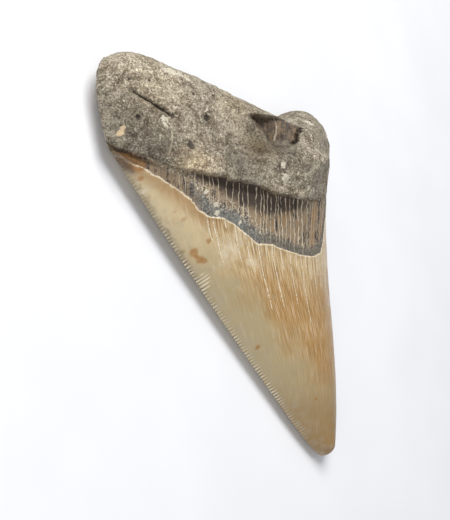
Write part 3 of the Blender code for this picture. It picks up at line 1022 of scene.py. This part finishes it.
def fossil_finish(colours, names):
    """Enamel, dark band and root bone in one material, told apart by the numbers kept under names."""
    paint = Paint("fossil_enamel_and_bone")
    spot = paint.spot()
    read = {name: paint.attribute(name) for name in names}
    ragged = (paint.noise(spot, 1.4, 2.0) - 0.5) * 0.5
    border = read["border"] + ragged
    root = paint.step(read["ledge"] + ragged, 0.0, 0.35)
    enamel = paint.step(border, 0.12, 0.0)

    bone = root_colour(paint, spot, colours, read)
    band, band_cracks = band_colour(paint, spot, colours, border, read)
    glaze, glaze_cracks = enamel_colour(paint, spot, colours, border, read)
    tone = paint.blend(paint.blend(band, bone, root), glaze, enamel)
    paint.feed(paint.shader.inputs["Base Color"], tone)

    wear = paint.noise(spot, 0.35, 3.0)
    polish = paint.step(wear, 0.3, 0.7, 0.30, 0.44)
    rough = paint.step(wear, 0.3, 0.7, 0.62, 0.85)
    paint.feed(paint.shader.inputs["Roughness"], enamel * polish + (1 - enamel) * rough)
    paint.feed(paint.shader.inputs["Specular IOR Level"], 0.4)

    grain = paint.noise(spot, 1.25, 4.0, 0.8) * 0.60 + paint.noise(spot, 2.9, 2.0, 0.7) * 0.26
    fibre = paint.noise(paint.vector(read["flow"], read["along"] * 0.08), 1.6, 3.0) * 0.16
    skin = paint.noise(paint.vector(read["flow"], read["along"] * 0.06), 2.0, 2.0) * 0.030
    skin = skin + paint.noise(spot, 0.9, 3.0) * 0.035 - glaze_cracks * 0.04
    height = root * grain + (1 - root) * ((1 - enamel) * (fibre + band_cracks * 0.10) + enamel * skin)
    bump = paint.node('ShaderNodeBump', {}, {"Strength": 0.85, "Distance": MM, "Height": height})
    paint.feed(paint.shader.inputs["Normal"], bump)
    return paint.material


class FOSSIL_OT_tooth(bpy.types.Operator):
    """Model the tooth's surface and give it its enamel, band and root"""
    bl_idname = "fossil.tooth"
    bl_label = "Fossil tooth"
    bl_options = {'REGISTER', 'UNDO'}

    def execute(self, context):
        scene = context.scene
        tooth = make_sleeve(scene.fossil_sizes.passes)
        middle = wrap_and_weld(tooth)
        names = sculpt(tooth, middle, scene.fossil_sizes)
        for face in tooth.data.polygons:
            face.use_smooth = True
        tooth.data.materials.append(fossil_finish(scene.fossil_colours, names))
        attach(tooth, "root")
        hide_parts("tooth")
        scene["fossil_middle"] = [float(part) for part in middle]
        print("tooth triangles:", len(tooth.data.polygons))
        return {'FINISHED'}


def area_light(name, place, size, power, target):
    lamp = bpy.data.objects.new(name, bpy.data.lights.new(name, 'AREA'))
    bpy.context.scene.collection.objects.link(lamp)
    lamp.data.shape = 'DISK'
    lamp.data.size = size
    lamp.data.energy = power
    lamp.location = place
    lamp.rotation_euler = (Vector(target) - Vector(place)).to_track_quat('-Z', 'Y').to_euler()
    return lamp


class FOSSIL_OT_stage(bpy.types.Operator):
    """Add the pale floor, the soft lights and the camera at the display view"""
    bl_idname = "fossil.stage"
    bl_label = "Floor, light and camera"
    bl_options = {'REGISTER', 'UNDO'}

    def execute(self, context):
        scene = context.scene
        look = scene.fossil_stage
        bpy.ops.object.select_all(action='DESELECT')
        bpy.ops.mesh.primitive_plane_add(size=look.floor_size)
        floor = context.object
        floor.name = "floor"
        paint = Paint("pale_floor")
        tint = paint.step(paint.noise(paint.spot(), 0.02, 2.0), 0.3, 0.7, 0.96, 1.0)
        shade = paint.blend(look.floor, paint.vector(tint, tint, tint), 1.0, 'MULTIPLY')
        paint.feed(paint.shader.inputs["Base Color"], shade)
        paint.feed(paint.shader.inputs["Roughness"], 0.7)
        floor.data.materials.append(paint.material)

        world = bpy.data.worlds.new("soft surroundings")
        world.use_nodes = True
        sky = world.node_tree.nodes["Background"]
        sky.inputs["Color"].default_value = look.sky
        sky.inputs["Strength"].default_value = look.sky_strength
        scene.world = world
        area_light("over the root", (-0.15, 0.45, 0.55), 0.5, look.key_power, (0, 0, 0.01))
        area_light("beside the camera", (-0.55, -0.35, 0.45), 0.6, look.fill_power, (0, 0, 0.01))
        scene.view_settings.view_transform = 'Standard'

        camera = bpy.data.objects.new("display view", bpy.data.cameras.new("display view"))
        scene.collection.objects.link(camera)
        camera.data.sensor_fit = 'AUTO'
        camera.data.sensor_width = SENSOR
        camera.data.lens = LENS
        camera.data.clip_start = 0.01
        turn = Matrix((SIGHT_RIGHT, -SIGHT_DOWN, -SIGHT_INTO)).transposed().to_4x4()
        place = (EYE - np.array(scene["fossil_middle"])) * MM
        camera.matrix_world = Matrix.Translation(place) @ turn
        scene.camera = camera
        return {'FINISHED'}


class FOSSIL_PT_panel(bpy.types.Panel):
    """Lists the steps that make the tooth and its stage"""
    bl_idname = "FOSSIL_PT_panel"
    bl_label = "Fossil tooth"
    bl_space_type = 'VIEW_3D'
    bl_region_type = 'UI'
    bl_category = "Fossil"

    def draw(self, context):
        for operator in (FOSSIL_OT_tooth, FOSSIL_OT_stage):
            self.layout.operator(operator.bl_idname)
        for group in (context.scene.fossil_sizes, context.scene.fossil_colours, context.scene.fossil_stage):
            box = self.layout.box()
            for name in group.bl_rna.properties.keys():
                if name not in ("rna_type", "name"):
                    box.prop(group, name)


CLASSES = (FossilSizes, FossilColours, FossilStage, FOSSIL_OT_tooth, FOSSIL_OT_stage, FOSSIL_PT_panel)


def register():
    for item in CLASSES:
        bpy.utils.register_class(item)
    bpy.types.Scene.fossil_sizes = PointerProperty(type=FossilSizes)
    bpy.types.Scene.fossil_colours = PointerProperty(type=FossilColours)
    bpy.types.Scene.fossil_stage = PointerProperty(type=FossilStage)


def unregister():
    del bpy.types.Scene.fossil_sizes, bpy.types.Scene.fossil_colours, bpy.types.Scene.fossil_stage
    for item in reversed(CLASSES):
        bpy.utils.unregister_class(item)


def main():
    register()
    bpy.ops.fossil.tooth()
    bpy.ops.fossil.stage()


if __name__ == "__main__":
    main()
